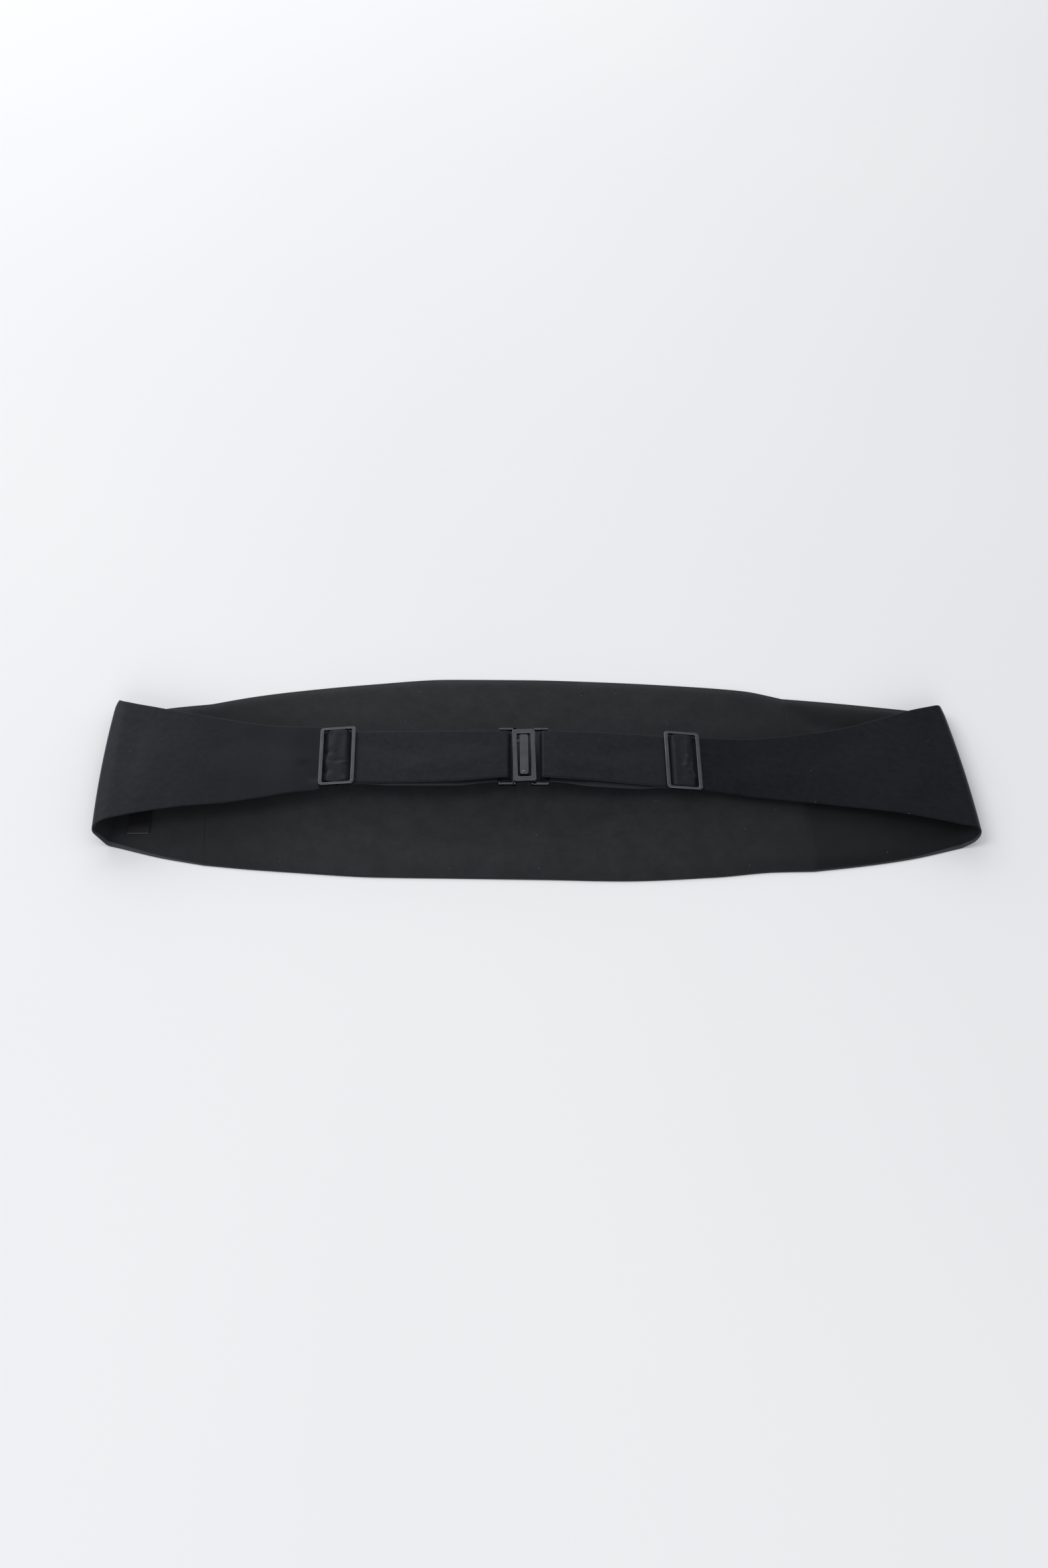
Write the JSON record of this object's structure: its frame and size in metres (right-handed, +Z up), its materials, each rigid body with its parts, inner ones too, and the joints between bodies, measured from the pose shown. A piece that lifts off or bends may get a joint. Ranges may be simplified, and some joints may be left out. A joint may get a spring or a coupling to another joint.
{
  "type": "satin sash",
  "caption": "Plain black satin waist sash, fastened in a ring with a hook-and-eye clasp and laid flat face down, its tapered wings folded over the front and drawn in by metal slides",
  "frame": {"origin": "on the surface that the sash lies on, under the middle of its box", "axes": "X along the flattened ring, Y across the panel towards its far edge, Z up from the surface"},
  "size_m": [0.4235, 0.1266, 0.0169],
  "materials": {
    "satin": "satin",
    "lining": "matte",
    "label": "matte",
    "metal": "satin"
  },
  "bodies": {
    "root": {"front_shell": "satin", "front_lining": "lining", "wing_shell_left": "satin", "wing_lining_left": "lining", "wing_shell_right": "satin", "wing_lining_right": "lining", "strap_left": "satin", "strap_right": "satin", "slide_left": "metal", "slide_right": "metal", "clasp_hook": "metal", "clasp_eye": "metal", "label": "label"}
  },
  "joints": []
}
